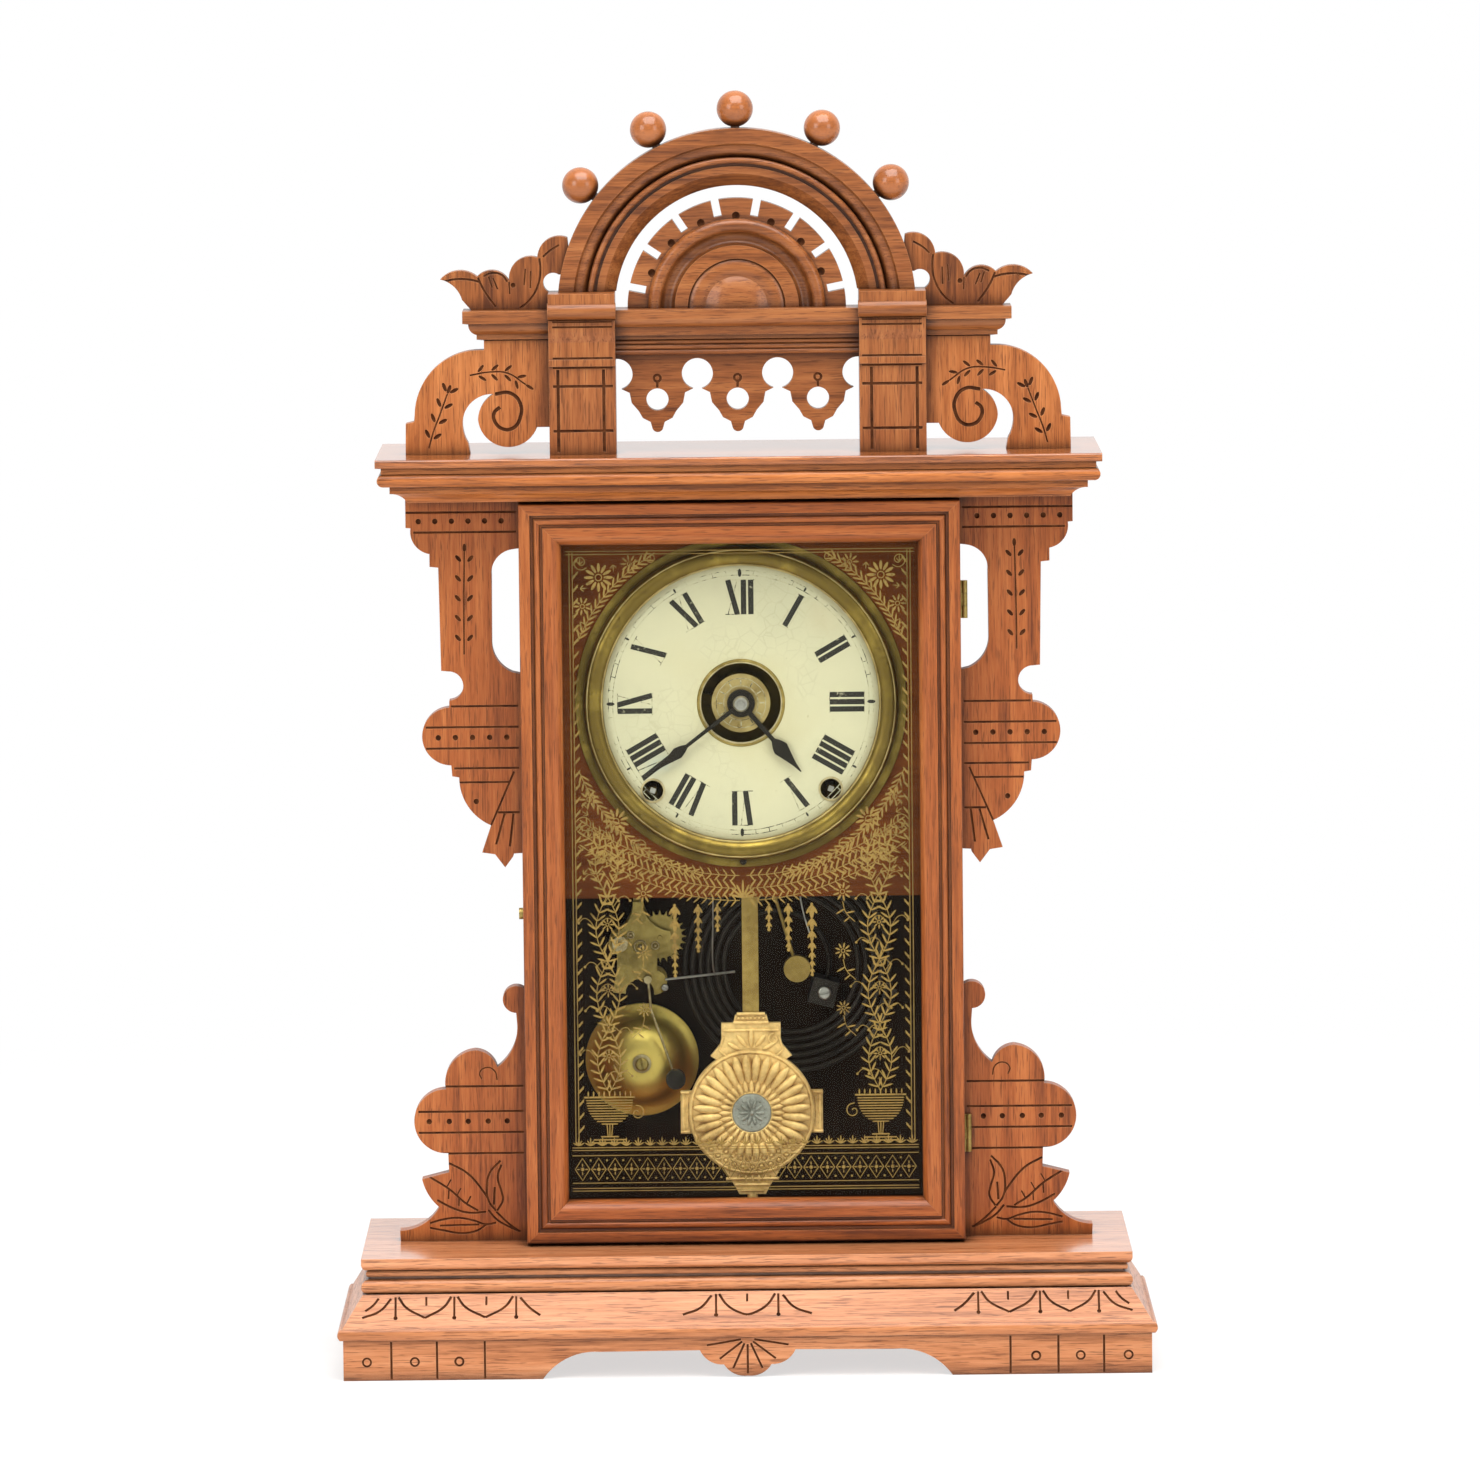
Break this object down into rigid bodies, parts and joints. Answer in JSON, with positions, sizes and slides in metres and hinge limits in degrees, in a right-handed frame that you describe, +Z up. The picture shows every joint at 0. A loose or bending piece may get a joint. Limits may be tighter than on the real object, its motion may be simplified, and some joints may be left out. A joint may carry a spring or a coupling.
{
  "type": "mantel clock",
  "caption": "Walnut shelf clock with hinged glass tablet door, round dial, pendulum, coil gong and alarm bell, under an arched fretwork crest.",
  "frame": {"origin": "floor under the middle of the base", "axes": "+Z up, +X to the viewer's right, -Y towards the viewer in front of the dial"},
  "size_m": [0.3682, 0.13, 0.5744],
  "materials": {
    "walnut": "satin varnish",
    "inner_wood": "dark stain",
    "tablet_glass": "clear",
    "dark_brass": "tarnished",
    "dial_enamel": "satin",
    "brass": "polished, aged",
    "black_steel": "blackened",
    "steel": "plain",
    "gilt_brass": "matt gilt",
    "silver": "matt"
  },
  "bodies": {
    "case": {"plinth_front": "walnut", "plinth_sides": "walnut", "base_moulding": "walnut", "base_board": "walnut", "case_side_left": "walnut", "case_side_right": "walnut", "case_top_board": "walnut", "cornice_moulding": "walnut", "cornice_board": "walnut", "upper_wing_left": "walnut", "upper_wing_right": "walnut", "lower_wing_left": "walnut", "lower_wing_right": "walnut", "crest_posts": "walnut", "crest_scrolls": "walnut", "crest_rails": "walnut", "crest_fret_panel": "walnut", "crest_flowers": "walnut", "crest_arch": "walnut", "crest_rosette": "walnut", "crest_balls": "walnut", "case_back_board": "inner_wood", "dial_board": "inner_wood", "case_hinge_leaves": "dark_brass", "alarm_frame": "dark_brass", "dial_pan": "dial_enamel", "dial_bezel": "brass", "winding_grommets": "brass", "movement_frame": "brass", "alarm_bell": "brass", "bell_post": "brass", "gong_coil": "black_steel", "gong_base": "black_steel", "mainsprings": "black_steel"},
    "door": {"door_stile_left": "walnut", "door_stile_right": "walnut", "door_rail_top": "walnut", "door_rail_bottom": "walnut", "door_glass": "tablet_glass", "door_glass_beads": "inner_wood", "door_hinge_leaves": "dark_brass", "door_catch_pin": "dark_brass"},
    "minute_hand": {"minute_hand": "black_steel", "hand_nut": "brass", "centre_arbor": "steel"},
    "hour_hand": {"hour_hand": "black_steel", "hour_wheel": "brass"},
    "motion_wheel": {"motion_wheel": "brass"},
    "alarm_disc": {"alarm_disc": "dark_brass"},
    "time_winding": {"time_great_wheel": "brass"},
    "strike_winding": {"strike_great_wheel": "brass"},
    "escape_wheel": {"escape_wheel": "brass"},
    "pendulum": {"pendulum_rod": "gilt_brass", "pendulum_bob": "gilt_brass", "bob_medallion": "silver"},
    "verge": {"verge": "steel"},
    "strike_hammer": {"strike_hammer": "gilt_brass"},
    "alarm_hammer": {"alarm_hammer": "black_steel"},
    "alarm_wheel": {"alarm_wheel": "dark_brass"},
    "alarm_winder": {"alarm_winder": "dark_brass"}
  },
  "joints": [
    {"name": "door_hinge", "type": "hinge", "parent": "case", "child": "door", "pos_m": [0.1013, -0.0052, 0.2229], "axis": [0, 0, 1], "range_deg": [0, 100]},
    {"name": "minute_hand_turn", "type": "hinge", "parent": "case", "child": "minute_hand", "pos_m": [0, 0, 0.298], "axis": [0, 1, 0], "continuous": true},
    {"name": "hour_hand_turn", "type": "hinge", "parent": "case", "child": "hour_hand", "pos_m": [0, 0, 0.298], "axis": [0, 1, 0], "continuous": true},
    {"name": "motion_wheel_turn", "type": "hinge", "parent": "case", "child": "motion_wheel", "pos_m": [-0.016, 0, 0.298], "axis": [0, 1, 0], "continuous": true},
    {"name": "alarm_disc_turn", "type": "hinge", "parent": "hour_hand", "child": "alarm_disc", "pos_m": [0, 0, 0.298], "axis": [0, 1, 0], "continuous": true},
    {"name": "time_winding_turn", "type": "hinge", "parent": "case", "child": "time_winding", "pos_m": [0.0403, 0, 0.2584], "axis": [0, 1, 0], "continuous": true},
    {"name": "strike_winding_turn", "type": "hinge", "parent": "case", "child": "strike_winding", "pos_m": [-0.0403, 0, 0.2584], "axis": [0, 1, 0], "continuous": true},
    {"name": "escape_wheel_turn", "type": "hinge", "parent": "case", "child": "escape_wheel", "pos_m": [0.003, 0, 0.247], "axis": [0, 1, 0], "continuous": true},
    {"name": "pendulum_swing", "type": "hinge", "parent": "case", "child": "pendulum", "pos_m": [0.003, 0, 0.268], "axis": [0, 1, 0], "range_deg": [-5, 5]},
    {"name": "verge_rock", "type": "hinge", "parent": "case", "child": "verge", "pos_m": [0.003, 0, 0.268], "axis": [0, 1, 0], "range_deg": [-5.5, 5.5]},
    {"name": "strike_hammer_lift", "type": "hinge", "parent": "case", "child": "strike_hammer", "pos_m": [0.0043, 0, 0.24], "axis": [0, -1, 0], "range_deg": [0, 12]},
    {"name": "alarm_hammer_swing", "type": "hinge", "parent": "case", "child": "alarm_hammer", "pos_m": [-0.0439, 0, 0.1673], "axis": [0, 1, 0], "range_deg": [-6, 6]},
    {"name": "alarm_wheel_turn", "type": "hinge", "parent": "case", "child": "alarm_wheel", "pos_m": [-0.0382, 0, 0.1861], "axis": [0, 1, 0], "continuous": true},
    {"name": "alarm_winder_turn", "type": "hinge", "parent": "case", "child": "alarm_winder", "pos_m": [-0.0565, 0, 0.1836], "axis": [0, 1, 0], "continuous": true}
  ],
  "couplings": [
    {"joint": "hour_hand_turn", "follows": "minute_hand_turn", "ratio": 0.083333},
    {"joint": "motion_wheel_turn", "follows": "minute_hand_turn", "ratio": -0.33333},
    {"joint": "verge_rock", "follows": "pendulum_swing", "ratio": 1}
  ]
}
